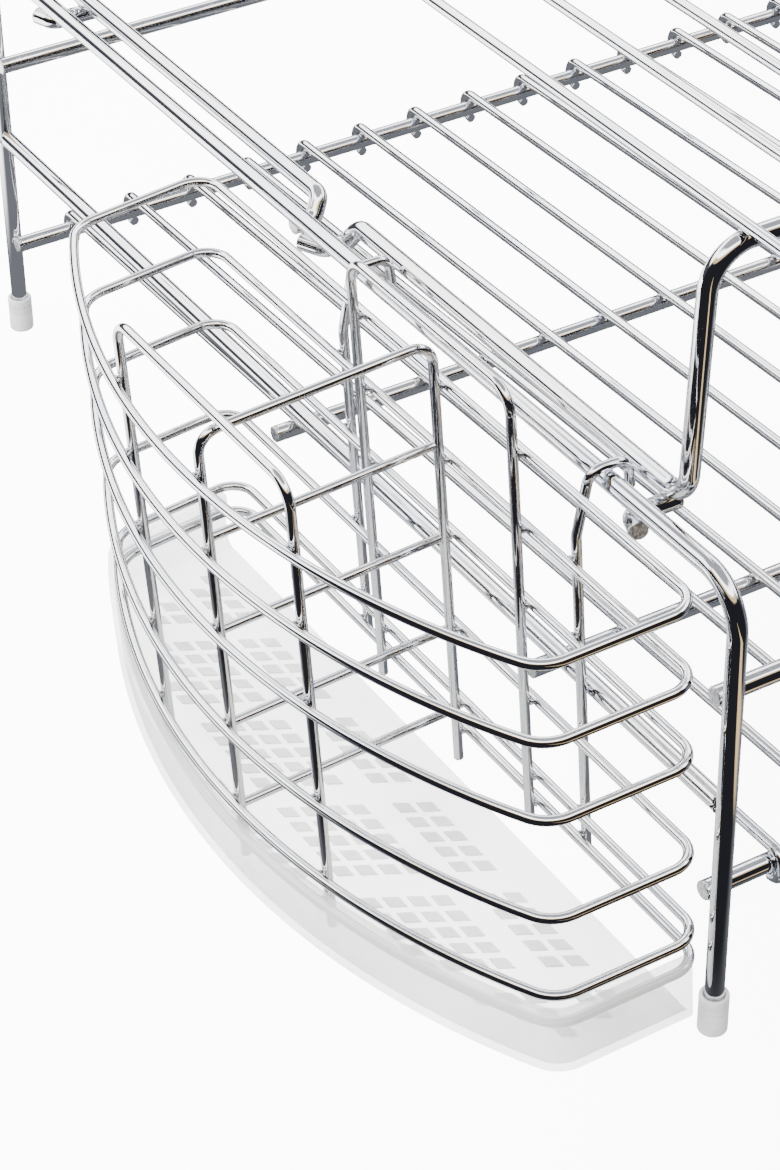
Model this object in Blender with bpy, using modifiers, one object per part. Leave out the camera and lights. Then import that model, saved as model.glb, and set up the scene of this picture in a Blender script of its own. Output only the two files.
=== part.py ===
"""Two-tier wire dish drying rack with a hook-on cutlery basket and its drip tray.

Metres, +Z up. The origin is on the worktop, under the middle of the whole rack.
The rack's own frame (x from the left end frame, y from the near legs, z from the
worktop) is shifted to that origin in one place, `place`.
"""

from math import acos, asin, cos, pi, radians, sin, sqrt, tan

import bmesh
import bpy
from mathutils import Matrix, Vector

# Driving dimensions of the rack
RACK_LENGTH = 0.410  # end frame to end frame, wire centres
RACK_DEPTH = 0.461  # near leg to far leg, wire centres
TOP_BAR_Z = 0.160  # height of the end frames' top bars
FRAME_R = 0.0030  # radius of the heavy frame wire
GRID_R = 0.0019  # radius of the thin wires of the grid and the shelf
GAP = 0.0003  # between wires that are welded together

END_BEND_R = 0.012  # inside bend where an end frame turns down into its legs
LEG_END_Z = 0.0024
CROSSBAR_DROP = 0.0755  # below the top bar
SIDE_RAIL_DROPS = (0.0390, 0.0432)  # near and far: the rack drains to the far side
GRID_RAIL_DROPS = (0.1100, 0.1195)
RAIL_OVERHANG = 0.0015  # how far a rail's cut end stands past the leg's middle
MID_RAIL_YS = {"near": 0.1210, "far": 0.2837}
MID_RAIL_INSET = -0.0150  # its ends stop this far inside the end frames

GRID_WIRES = 15
GRID_PITCH = 0.026
GRID_FIRST_X = 0.023
HOOK_STEPS = 5  # straight steps round a grid wire's hooked end

# Driving dimensions of the upper shelf
POST_X = 0.0127  # post's foot, inside the end frame
POST_Y = 0.0420
POST_LEAN = 0.029  # inward per unit of height
POST_SPREAD = 0.0018  # the post tops stand this much further apart than their feet
SHELF_RAIL_RISE = 0.0798  # shelf rail above the top bar
POST_BEND_R = 0.0135
BASE_BEND_R = 0.0090
BASE_END_Y = 0.2210  # where the near frame's base bar turns under the top bar
FAR_POST_Y = RACK_DEPTH - POST_Y
FAR_BASE_END_Y = 0.2400
FOOT_Y = 0.0515
FOOT_TIP = 0.0072
SHELF_WIRES = 13
SHELF_PITCH = 0.030
SHELF_FIRST_X = 0.025
SHELF_OVERHANG = 0.030  # past the shelf rails, towards the near and far sides

# Driving dimensions of the basket, in its own frame: x towards the rack, z up
BASKET_R = 0.0016
BASKET_X = -0.0129  # back of the basket from the end frame
BASKET_Y = 0.1358  # middle of the basket
BASKET_RISE = 0.0010  # top ring above the top bar
BASKET_LEAN = radians(3.33)
BASKET_HALF = 0.1360  # half its width
BOW_R = 0.2764  # radius of the bowed front
BOW_REACH = 0.0831  # from the back to the middle of the front
BACK_CORNER_R = 0.0090
FRONT_CORNER_R = 0.0120
END_SPLAY = radians(2.85)
RING_DROPS = (0.0, 0.02675, 0.0547, 0.0913, 0.1214, 0.1321)
WELD_STEP = 2 * BASKET_R + GAP  # between wires welded side by side

HOOP_Y = (-0.0508, 0.0501)
HOOP_TOP = 0.0205
HOOP_FOOT = -0.1430
PANEL_Y = -0.0088
PANEL_SKEW_Y = 0.0028  # its front stands this much further along y
PANEL_SAG = 0.0024  # and this much lower
PANEL_TOP = 0.0156
PANEL_FOOT = -0.1430
PANEL_BAR_DROPS = (0.02065, 0.0548, 0.0904, 0.1230)
BAR_R = 0.0015
BAR_OFFSET = 0.0004  # the bars sit a little to one side of the panel's legs
BRACE_Y = (-0.0503, 0.0368)
BRACE_TOP = 0.02106
BRACE_FOOT = -0.1390
HANGER_Y = (-0.0710, 0.0576)
HANGER_FOOT = -0.1370
HOOK_START = -0.0190  # where a hanger leaves the back and turns over the top bar
HOOK_LEAN_Y = -0.0028  # the hook leans this far to the near side of its leg

TRAY_FLOOR_TOP = -0.1478  # just under the longest wire legs
TRAY_THICK = 0.0016
TRAY_RIM_TOP = -0.1255
TRAY_CLEAR = 0.0008  # between the lowest ring and the tray's wall
TRAY_LIP = 0.0026  # how far the rim's lip reaches in over the lowest ring
TRAY_BACK = -0.0060  # open back edge of the tray
OPEN_BACK = 0.0200  # how far the cutters run on past the open back

CAP_OUTER_R = 0.0046
CAP_HEIGHT = 0.0140
CAP_FLOOR = 0.0020

BASKET_REACH = BASKET_X - (BOW_REACH + BASKET_R)
CENTRE_X = (RACK_LENGTH + FRAME_R + BASKET_REACH) / 2
CENTRE_Y = RACK_DEPTH / 2


# Scene and materials
def clear_scene():
    for obj in list(bpy.data.objects):
        bpy.data.objects.remove(obj, do_unlink=True)


def new_collection(name):
    made = bpy.data.collections.new(name)
    bpy.context.scene.collection.children.link(made)
    return made


def plain_material(name, colour, roughness, metallic, alpha=1.0):
    made = bpy.data.materials.new(name)
    made.use_nodes = True
    shader = made.node_tree.nodes["Principled BSDF"]
    shader.inputs["Base Color"].default_value = (*colour, 1.0)
    shader.inputs["Roughness"].default_value = roughness
    shader.inputs["Metallic"].default_value = metallic
    shader.inputs["Alpha"].default_value = alpha
    return made


clear_scene()
PARTS = new_collection("dish_drying_rack")
CUTTERS = new_collection("cutters")
CHROME = plain_material("chrome_wire", (0.80, 0.81, 0.83), 0.08, 1.0)
CHROME_THIN = plain_material("chrome_thin_wire", (0.78, 0.79, 0.81), 0.10, 1.0)
CHROME_BASKET = plain_material("chrome_basket_wire", (0.82, 0.82, 0.84), 0.08, 1.0)
TRAY_PLASTIC = plain_material("tray_plastic", (0.93, 0.94, 0.92), 0.35, 0.0, 0.75)
CAP_RUBBER = plain_material("cap_rubber", (0.85, 0.85, 0.86), 0.60, 0.0)


# Frames of reference
def place(x, y, height):
    """A point given from the left end frame, the near legs and the worktop."""
    return Vector((x - CENTRE_X, y - CENTRE_Y, height))


def from_bar(x, y, rise):
    """As place, with the height measured from the end frames' top bars."""
    return place(x, y, TOP_BAR_Z + rise)


def basket_matrix():
    """The basket's own frame: it leans out at the top by BASKET_LEAN."""
    spot = Matrix.Translation(from_bar(BASKET_X, BASKET_Y, BASKET_RISE))
    return spot @ Matrix.Rotation(-BASKET_LEAN, 4, "Y")


# Wire helpers
def rounded(corners, radii, step=radians(18)):
    """The corners as a path, each inner one turned on an arc of its radius."""
    path = [Vector(corners[0])]
    for before, corner, after, radius in zip(corners, corners[1:], corners[2:], radii):
        corner = Vector(corner)
        back = (Vector(before) - corner).normalized()
        on = (Vector(after) - corner).normalized()
        turn = pi - acos(max(-1.0, min(1.0, back.dot(on))))
        if radius <= 0 or turn < radians(1):
            path.append(corner)
            continue
        reach = radius * tan(turn / 2)
        middle = corner + (back + on).normalized() * (radius / cos(turn / 2))
        start = corner + back * reach - middle
        end = corner + on * reach - middle
        count = max(2, round(turn / step))
        for i in range(count + 1):
            share = i / count
            a = sin((1 - share) * turn) / sin(turn)
            b = sin(share * turn) / sin(turn)
            path.append(middle + start * a + end * b)
    path.append(Vector(corners[-1]))
    return path


def wire(name, path, radius, material, matrix=None, closed=False):
    """A round wire along the path, as a curve with a bevel and filled caps."""
    data = bpy.data.curves.new(name, "CURVE")
    data.dimensions = "3D"
    data.bevel_depth = radius
    data.bevel_resolution = 2
    data.use_fill_caps = True
    spline = data.splines.new("POLY")
    spline.points.add(len(path) - 1)
    for point, spot in zip(spline.points, path):
        point.co = (*spot, 1.0)
    spline.use_cyclic_u = closed
    spline.use_smooth = True
    data.materials.append(material)
    made = bpy.data.objects.new(name, data)
    if matrix is not None:
        made.matrix_world = matrix
    PARTS.objects.link(made)
    return made


def as_mesh(curve):
    """The curve object as a closed mesh object, for joining with a Boolean."""
    bpy.context.view_layer.update()
    graph = bpy.context.evaluated_depsgraph_get()
    mesh = bpy.data.meshes.new_from_object(curve.evaluated_get(graph))
    builder = bmesh.new()
    builder.from_mesh(mesh)
    bmesh.ops.remove_doubles(builder, verts=builder.verts, dist=1e-6)
    bmesh.ops.recalc_face_normals(builder, faces=builder.faces)
    builder.to_mesh(mesh)
    builder.free()
    name = curve.name
    matrix = curve.matrix_world.copy()
    bpy.data.objects.remove(curve, do_unlink=True)
    made = bpy.data.objects.new(name, mesh)
    made.matrix_world = matrix
    PARTS.objects.link(made)
    return made


def move_to_cutters(obj):
    PARTS.objects.unlink(obj)
    CUTTERS.objects.link(obj)
    obj.hide_render = True
    obj.display_type = "WIRE"


def join_to(target, helper):
    """Unions the helper into the target, and hides the helper."""
    move_to_cutters(helper)
    union = target.modifiers.new("join " + helper.name, "BOOLEAN")
    union.operation = "UNION"
    union.solver = "EXACT"
    union.object = helper


def cut_from(target, helper):
    move_to_cutters(helper)
    cut = target.modifiers.new("cut " + helper.name, "BOOLEAN")
    cut.operation = "DIFFERENCE"
    cut.solver = "EXACT"
    cut.object = helper


# End frames: one bent wire each, two legs and a top bar, with a crossbar between the legs
def end_frame(side, x):
    bend = END_BEND_R + FRAME_R
    corners = [
        place(x, 0, LEG_END_Z),
        place(x, 0, TOP_BAR_Z),
        place(x, RACK_DEPTH, TOP_BAR_Z),
        place(x, RACK_DEPTH, LEG_END_Z),
    ]
    wire(f"end_frame_{side}", rounded(corners, (bend, bend)), FRAME_R, CHROME)
    inset = FRAME_R + GAP
    ends = [
        from_bar(x, inset, -CROSSBAR_DROP),
        from_bar(x, RACK_DEPTH - inset, -CROSSBAR_DROP),
    ]
    wire(f"end_crossbar_{side}", ends, FRAME_R, CHROME)


# Long rails: welded to the inner sides of the legs, their cut ends showing past them
def long_rail(name, y, drop, overhang=RAIL_OVERHANG):
    ends = [from_bar(-overhang, y, -drop), from_bar(RACK_LENGTH + overhang, y, -drop)]
    wire(name, ends, FRAME_R, CHROME)


RAIL_INSET = 2 * FRAME_R + GAP
NEAR_RAIL_Y = RAIL_INSET
FAR_RAIL_Y = RACK_DEPTH - RAIL_INSET


def grid_drop(y):
    """How far below the top bars the grid rails lie at a distance y from the near legs."""
    share = (y - NEAR_RAIL_Y) / (FAR_RAIL_Y - NEAR_RAIL_Y)
    near, far = GRID_RAIL_DROPS
    return near + share * (far - near)


def rails():
    for side, y, drop in zip(("near", "far"), (NEAR_RAIL_Y, FAR_RAIL_Y), SIDE_RAIL_DROPS):
        long_rail(f"side_rail_{side}", y, drop)
        long_rail(f"grid_rail_{side}", y, grid_drop(y))
    for side, y in MID_RAIL_YS.items():
        long_rail(f"grid_rail_mid_{side}", y, grid_drop(y), MID_RAIL_INSET)


# Grid wires: they lie across the grid rails and hook round the near and far ones
def hooked_end(rail_y, outward):
    """Points (y, rise) round a grid rail, from above it, over its outer side, to below it."""
    around = FRAME_R + GAP + GRID_R
    points = []
    for i in range(HOOK_STEPS + 1):
        angle = pi * i / HOOK_STEPS
        rise = around * cos(angle) - grid_drop(rail_y)
        points.append((rail_y + outward * around * sin(angle), rise))
    return points


def grid_wires():
    near = hooked_end(NEAR_RAIL_Y, -1)
    far = hooked_end(FAR_RAIL_Y, 1)
    for i in range(GRID_WIRES):
        x = GRID_FIRST_X + i * GRID_PITCH
        path = [from_bar(x, y, rise) for y, rise in near[::-1] + far]
        wire(f"grid_wire_{i + 1:02d}", path, GRID_R, CHROME_THIN)


# Upper shelf frames: base bar beside the top bar, post, shelf rail, and the same again
def shelf_end(post_y, base_end_y, onward, stub):
    """Corners and bend radii of one end, from under the top bar to the shelf rail.

    onward is the base bar's direction along y from the post, and stub is true where
    the wire turns on along the top bar's underside instead of stopping beneath it.
    """
    under = -(2 * FRAME_R + GAP)
    corners = [
        (0.0085, base_end_y, under),
        (POST_X, base_end_y - onward * 0.0030, 0.0),
        (POST_X, post_y, 0.0),
        (POST_X + POST_LEAN * SHELF_RAIL_RISE, post_y - onward * POST_SPREAD, SHELF_RAIL_RISE),
    ]
    radii = [0.005, 0.004, BASE_BEND_R, POST_BEND_R]
    if stub:
        tip = (-0.0015, base_end_y + onward * 0.0090, under)
        turn = (0.0020, base_end_y + onward * 0.0015, under)
        return [tip, turn, *corners], [0.004, *radii]
    return [(0.0012, base_end_y, under), *corners], radii


def shelf_frame(side, post_y, base_end_y, onward, stub):
    corners, radii = shelf_end(post_y, base_end_y, onward, stub)
    left = [from_bar(*spot) for spot in corners]
    right = [from_bar(RACK_LENGTH - x, y, rise) for x, y, rise in reversed(corners)]
    path = rounded(left + right, radii + radii[::-1], radians(22.5))
    wire(f"shelf_frame_{side}", path, FRAME_R, CHROME)


# Shelf feet: short wires welded under the base bars and the top bars beside the posts
def shelf_foot(name, x, inward, y, tip):
    """A foot at a distance y from the near legs, its outer end turned by tip along y."""
    under = -(2 * FRAME_R + GAP)
    corners = [
        from_bar(x + inward * 0.0165, y, under),
        from_bar(x + inward * 0.0008, y, under),
        from_bar(x - inward * 0.0018, y + tip, under),
    ]
    wire(name, rounded(corners, (0.0035,)), FRAME_R, CHROME)


def shelf_wires():
    rise = SHELF_RAIL_RISE + FRAME_R + GAP + GRID_R
    for i in range(SHELF_WIRES):
        x = SHELF_FIRST_X + i * SHELF_PITCH
        ends = [
            from_bar(x, POST_Y - SHELF_OVERHANG, rise),
            from_bar(x, FAR_POST_Y + SHELF_OVERHANG, rise),
        ]
        wire(f"shelf_wire_{i + 1:02d}", ends, GRID_R, CHROME_THIN)


# Basket rings: D-shaped closed loops, straight at the back and bowed at the front
def bow_x(y, outset=0.0):
    """How far out the bowed front lies at a distance y from the basket's middle."""
    radius = BOW_R + outset
    return -(BOW_REACH + outset) + radius - sqrt(radius * radius - y * y)


def ring_outline(outset=0.0, back=0.0):
    """Half a ring's corners on the near side, then the far side mirrored."""
    half = BASKET_HALF + outset
    depth = bow_x(half - 0.002) + outset * 0.2
    front_y = half + depth * tan(END_SPLAY)
    corner_x = bow_x(front_y, outset)
    arc = []
    last = asin((front_y - FRONT_CORNER_R * 0.9) / (BOW_R + outset))
    steps = 8
    for i in range(-steps, steps + 1):
        angle = last * i / steps
        x = -(BOW_REACH + outset) + (BOW_R + outset) * (1 - cos(angle))
        arc.append((x, (BOW_R + outset) * sin(angle)))
    corners = [(back, 0.0), (back, -half), (corner_x, -front_y), *arc]
    corners += [(corner_x, front_y), (back, half), (back, 0.0)]
    radii = [BACK_CORNER_R, FRONT_CORNER_R] + [0.0] * len(arc)
    radii += [FRONT_CORNER_R, BACK_CORNER_R]
    return corners, radii


def basket_ring(index, drop):
    corners, radii = ring_outline()
    spots = [Vector((x, y, -drop)) for x, y in corners]
    path = rounded(spots, radii)[:-1]
    wire(f"basket_ring_{index}", path, BASKET_R, CHROME_BASKET, basket_matrix(), True)


# Basket wires that stand upright
def hoop(name, x, legs_y, top, foot, bend, material=CHROME_BASKET):
    corners = [
        (x, legs_y[0], foot),
        (x, legs_y[0], top),
        (x, legs_y[1], top),
        (x, legs_y[1], foot),
    ]
    wire(name, rounded(corners, (bend, bend)), BASKET_R, material, basket_matrix())


def front_hoop():
    x = bow_x(HOOP_Y[0]) + WELD_STEP
    hoop("front_hoop", x, HOOP_Y, HOOP_TOP, HOOP_FOOT, 0.008)


def back_brace():
    hoop("back_brace", -WELD_STEP, BRACE_Y, BRACE_TOP, BRACE_FOOT, 0.008)


def divider_panel():
    """The cross panel: an upturned U of wire with four bars welded across it."""
    front_y = PANEL_Y + PANEL_SKEW_Y
    front = bow_x(front_y) + WELD_STEP
    back = -WELD_STEP
    corners = [
        (front, front_y, PANEL_FOOT - PANEL_SAG),
        (front, front_y, PANEL_TOP - PANEL_SAG),
        (back, PANEL_Y, PANEL_TOP),
        (back, PANEL_Y, PANEL_FOOT),
    ]
    path = rounded(corners, (0.007, 0.007))
    panel = as_mesh(wire("divider_panel", path, BASKET_R, CHROME_BASKET, basket_matrix()))
    for i, drop in enumerate(PANEL_BAR_DROPS):
        ends = [
            (front, front_y + BAR_OFFSET, -drop - PANEL_SAG),
            (back, PANEL_Y + BAR_OFFSET, -drop),
        ]
        bar = wire(f"panel_bar_{i + 1}", ends, BAR_R, CHROME_BASKET, basket_matrix())
        join_to(panel, as_mesh(bar))


def hanger(side, y):
    """A leg behind the basket that turns over the rack's top bar in a hook."""
    matrix = basket_matrix()
    to_world = matrix.inverted()
    line_y = BASKET_Y + y
    over = FRAME_R + BASKET_R + GAP + 0.0001
    hook = [
        from_bar(-0.0064, line_y + HOOK_LEAN_Y, over),
        from_bar(0.0064, line_y + HOOK_LEAN_Y, over),
        from_bar(0.0076, line_y + HOOK_LEAN_Y, -0.0045),
    ]
    corners = [
        Vector((WELD_STEP, y, HANGER_FOOT)),
        Vector((WELD_STEP, y, HOOK_START)),
        *(to_world @ spot for spot in hook),
    ]
    path = rounded(corners, (0.010, 0.0046, 0.0046))
    wire(f"hanger_{side}", path, BASKET_R, CHROME_BASKET, matrix)


# Drip tray: a shallow D-shaped tray, open at the back, that slides out to the front
def tray_outline(outset, back):
    """The ring's outline moved out, with straight sides to an open back edge."""
    corners, radii = ring_outline(outset, 0.0)
    path = rounded([Vector((x, y, 0)) for x, y in corners], radii)
    keep = [spot for spot in path if spot.x < -(BACK_CORNER_R + outset)]
    widest = max(spot.y for spot in path)
    return [Vector((back, -widest, 0)), *keep, Vector((back, widest, 0))]


def prism(name, outline, bottom, top):
    """A closed solid of the outline between two heights, in the basket's frame."""
    builder = bmesh.new()
    ring = [builder.verts.new((spot.x, spot.y, bottom)) for spot in outline]
    floor = builder.faces.new(ring)
    raised = bmesh.ops.extrude_face_region(builder, geom=[floor])
    moved = [item for item in raised["geom"] if isinstance(item, bmesh.types.BMVert)]
    bmesh.ops.translate(builder, verts=moved, vec=(0, 0, top - bottom))
    bmesh.ops.recalc_face_normals(builder, faces=builder.faces)
    mesh = bpy.data.meshes.new(name)
    builder.to_mesh(mesh)
    builder.free()
    made = bpy.data.objects.new(name, mesh)
    made.matrix_world = basket_matrix()
    PARTS.objects.link(made)
    return made


def drip_tray():
    """Floor and wall outside the lowest ring, with a lip that rests over the ring."""
    inner = BASKET_R + TRAY_CLEAR
    lip_under = GAP + BASKET_R - RING_DROPS[-1]
    above = TRAY_RIM_TOP + TRAY_THICK
    bottom = TRAY_FLOOR_TOP - TRAY_THICK
    tray = prism("drip_tray", tray_outline(inner + TRAY_THICK, TRAY_BACK), bottom, TRAY_RIM_TOP)
    beyond = TRAY_BACK + OPEN_BACK
    hollow = prism("tray_hollow", tray_outline(inner, beyond), TRAY_FLOOR_TOP, lip_under)
    mouth = prism("tray_mouth", tray_outline(inner - TRAY_LIP, beyond), lip_under - TRAY_THICK, above)
    cut_from(tray, hollow)
    cut_from(tray, mouth)
    tray.data.materials.append(TRAY_PLASTIC)


# Leg caps: soft cups that the legs stand in
def leg_cap(name, x, y):
    bore = FRAME_R + GAP
    profile = [
        (0.0, CAP_FLOOR),
        (bore, CAP_FLOOR),
        (bore, CAP_HEIGHT),
        (CAP_OUTER_R - 0.0004, CAP_HEIGHT),
        (CAP_OUTER_R, CAP_HEIGHT - 0.0006),
        (CAP_OUTER_R, 0.0006),
        (CAP_OUTER_R - 0.0006, 0.0),
        (0.0, 0.0),
    ]
    mesh = bpy.data.meshes.new(name)
    edges = [(i, i + 1) for i in range(len(profile) - 1)]
    mesh.from_pydata([(r, 0.0, z) for r, z in profile], edges, [])
    mesh.materials.append(CAP_RUBBER)
    made = bpy.data.objects.new(name, mesh)
    made.location = place(x, y, 0.0)
    PARTS.objects.link(made)
    turn = made.modifiers.new("turn", "SCREW")
    turn.steps = 16
    turn.render_steps = 16
    turn.use_merge_vertices = True
    turn.merge_threshold = 0.00001
    turn.use_smooth_shade = True


end_frame("left", 0.0)
end_frame("right", RACK_LENGTH)
rails()
grid_wires()
shelf_frame("near", POST_Y, BASE_END_Y, 1, True)
shelf_frame("far", FAR_POST_Y, FAR_BASE_END_Y, -1, False)
for end, end_x, inwards in (("left", 0.0, 1), ("right", RACK_LENGTH, -1)):
    shelf_foot(f"shelf_foot_near_{end}", end_x, inwards, FOOT_Y, -FOOT_TIP)
    shelf_foot(f"shelf_foot_far_{end}", end_x, inwards, RACK_DEPTH - FOOT_Y, FOOT_TIP)
shelf_wires()
for number, ring_drop in enumerate(RING_DROPS):
    basket_ring(number + 1, ring_drop)
front_hoop()
divider_panel()
back_brace()
hanger("near", HANGER_Y[0])
hanger("far", HANGER_Y[1])
drip_tray()
for corner_name, leg_x, leg_y in (
    ("near_left", 0.0, 0.0),
    ("far_left", 0.0, RACK_DEPTH),
    ("near_right", RACK_LENGTH, 0.0),
    ("far_right", RACK_LENGTH, RACK_DEPTH),
):
    leg_cap(f"leg_cap_{corner_name}", leg_x, leg_y)
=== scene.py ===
# %% [markdown]
# # A chromed wire dish rack, its cutlery basket and its drip tray
# The rack's working model, the frame, is loaded first and never moved. Every visible piece is then
# built in the frame's own coordinates, in metres, and tied to the body that carries it.
# The lesson goes from wires to welds to plastic, and ends with light, because chrome shows nothing
# but its surroundings.

# %% Load the frame
from math import acos, asin, cos, pi, radians, sin, sqrt, tan

import bmesh
import bpy
from mathutils import Matrix, Vector, noise


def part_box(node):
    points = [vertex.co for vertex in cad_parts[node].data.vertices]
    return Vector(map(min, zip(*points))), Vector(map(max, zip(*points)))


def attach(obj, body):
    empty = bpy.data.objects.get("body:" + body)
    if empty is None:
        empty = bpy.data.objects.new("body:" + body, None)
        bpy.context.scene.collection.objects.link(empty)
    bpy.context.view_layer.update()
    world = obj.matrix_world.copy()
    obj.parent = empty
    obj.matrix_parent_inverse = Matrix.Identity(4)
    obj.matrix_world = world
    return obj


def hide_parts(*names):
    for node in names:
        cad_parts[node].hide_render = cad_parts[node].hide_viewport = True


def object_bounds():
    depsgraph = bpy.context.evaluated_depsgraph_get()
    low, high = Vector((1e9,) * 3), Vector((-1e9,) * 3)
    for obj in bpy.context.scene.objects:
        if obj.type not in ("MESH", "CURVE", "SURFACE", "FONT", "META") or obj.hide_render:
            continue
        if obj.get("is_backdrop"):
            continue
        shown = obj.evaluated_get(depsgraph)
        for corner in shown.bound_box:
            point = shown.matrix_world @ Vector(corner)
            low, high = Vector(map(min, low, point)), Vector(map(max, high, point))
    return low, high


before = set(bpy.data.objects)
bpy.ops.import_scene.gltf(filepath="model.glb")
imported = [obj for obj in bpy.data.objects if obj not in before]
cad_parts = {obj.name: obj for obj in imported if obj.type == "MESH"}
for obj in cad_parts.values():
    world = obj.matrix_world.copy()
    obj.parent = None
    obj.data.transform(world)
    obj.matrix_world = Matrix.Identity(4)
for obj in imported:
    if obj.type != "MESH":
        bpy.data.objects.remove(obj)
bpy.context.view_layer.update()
MM = 0.001

# %% [markdown]
# ## Where things are
# Straight wires give their own place away: the box round one is as thick as the wire, so its radius
# and its middle line can be read back from the frame. Reading them keeps this script true to the
# frame when a dimension changes.

# %% Read the rack's main lines from the frame


def middle(node):
    low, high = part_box(node)
    return (low + high) / 2


def span(node):
    low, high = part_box(node)
    return high - low


FRAME_R = span("end_frame_left").x / 2
GRID_R = span("shelf_wire_01").x / 2
BASKET_R = 1.6 * MM
GAP = 0.3 * MM
LEFT_X = middle("end_frame_left").x
RIGHT_X = middle("end_frame_right").x
NEAR_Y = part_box("end_frame_left")[0].y + FRAME_R
FAR_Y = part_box("end_frame_left")[1].y - FRAME_R
TOP_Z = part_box("end_frame_left")[1].z - FRAME_R
LEG_END_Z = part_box("end_frame_left")[0].z
SIDES = ((LEFT_X, 1), (RIGHT_X, -1))  # each end's x, and the direction inwards from it
print(f"frame wire {2 * FRAME_R / MM:.1f} mm, thin wire {2 * GRID_R / MM:.1f} mm")

# %% [markdown]
# ## The basket's own frame
# The basket leans against the rack, so its wires are simple only in coordinates of its own: x towards
# the rack, y along the rack's end and z up its back. One matrix turns and moves them all into place.

# %% Basket frame and shapes
BASKET_AT = Vector((LEFT_X - 12.9 * MM, NEAR_Y + 135.8 * MM, TOP_Z + 1.0 * MM))
BASKET_LEAN = radians(3.33)
TO_WORLD = Matrix.Translation(BASKET_AT) @ Matrix.Rotation(-BASKET_LEAN, 4, "Y")
HALF_WIDTH = 136.0 * MM
BOW_R = 276.4 * MM
BOW_REACH = 83.1 * MM
BACK_CORNER_R = 9.0 * MM
FRONT_CORNER_R = 12.0 * MM
END_SPLAY = radians(2.85)
RING_DROPS = [drop * MM for drop in (0.0, 26.75, 54.7, 91.3, 121.4, 132.1)]
SIDE_BY_SIDE = 2 * BASKET_R + GAP  # between the middles of two basket wires welded together


def bow_x(y, outset=0.0):
    """The bowed front's x at a distance y from the basket's middle."""
    radius = BOW_R + outset
    return -(BOW_REACH + outset) + radius - sqrt(radius * radius - y * y)


print("basket", round(2 * HALF_WIDTH / MM), "mm wide, rings at", [round(d / MM) for d in RING_DROPS])

# %% [markdown]
# ## Bending wire
# A wire bender turns each corner on a former of one radius. The helper does the same: it takes the
# corners and a radius for each, and puts an arc where the corner was. The alternative, a Bezier curve
# with automatic handles, bulges before each bend in a way that drawn wire never does.

# %% Rounded paths and wires
ARC_STEP = radians(5)
WIRE_SIDES = 10  # bevel resolution, which gives a 24-sided wire


def rounded(corners, radii):
    path = [Vector(corners[0])]
    for before, corner, after, radius in zip(corners, corners[1:], corners[2:], radii):
        corner = Vector(corner)
        back = (Vector(before) - corner).normalized()
        on = (Vector(after) - corner).normalized()
        turn = pi - acos(max(-1.0, min(1.0, back.dot(on))))
        if radius <= 0 or turn < radians(0.5):
            path.append(corner)
            continue
        centre = corner + (back + on).normalized() * (radius / cos(turn / 2))
        start = corner + back * radius * tan(turn / 2) - centre
        end = corner + on * radius * tan(turn / 2) - centre
        count = max(3, round(turn / ARC_STEP))
        for i in range(count + 1):
            share = i / count
            path.append(centre + (start * sin((1 - share) * turn) + end * sin(share * turn)) / sin(turn))
    path.append(Vector(corners[-1]))
    return path


def wire(name, path, radius, finish, body, node, closed=False):
    """A round wire that rides on a body and, where a node is named, stands for it."""
    curve = bpy.data.curves.new(name, "CURVE")
    curve.dimensions = "3D"
    curve.bevel_depth = radius
    curve.bevel_resolution = WIRE_SIDES
    curve.use_fill_caps = True
    spline = curve.splines.new("POLY")
    spline.points.add(len(path) - 1)
    for point, spot in zip(spline.points, path):
        point.co = (*spot, 1.0)
    spline.use_cyclic_u = closed
    spline.use_smooth = True
    curve.materials.append(finish)
    made = bpy.data.objects.new(name, curve)
    bpy.context.scene.collection.objects.link(made)
    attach(made, body)
    if node:
        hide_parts(node)
    return made


right_angle = [(0, 0, 0), (1, 0, 0), (1, 1, 0)]
print("a right angle on a 12 mm former:", len(rounded(right_angle, [12 * MM])), "points")

# %% [markdown]
# ## Shader sums as Python
# Node trees are easier to read as expressions. `Link` wraps one output socket, and its operators add
# Math nodes, so `0.04 + patches * 0.05` builds the tree that it describes. `Finish` owns a material,
# and its one method `node` makes every other kind of node.

# %% Finish and Link


class Link:
    def __init__(self, finish, socket):
        self.finish = finish
        self.socket = socket

    def maths(self, operation, *values):
        inputs = dict(enumerate(values))
        return self.finish.node("ShaderNodeMath", {"operation": operation}, inputs)

    def __add__(self, other):
        return self.maths("ADD", self, other)

    def __mul__(self, other):
        return self.maths("MULTIPLY", self, other)

    def __sub__(self, other):
        return self.maths("SUBTRACT", self, other)

    __radd__ = __add__


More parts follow.
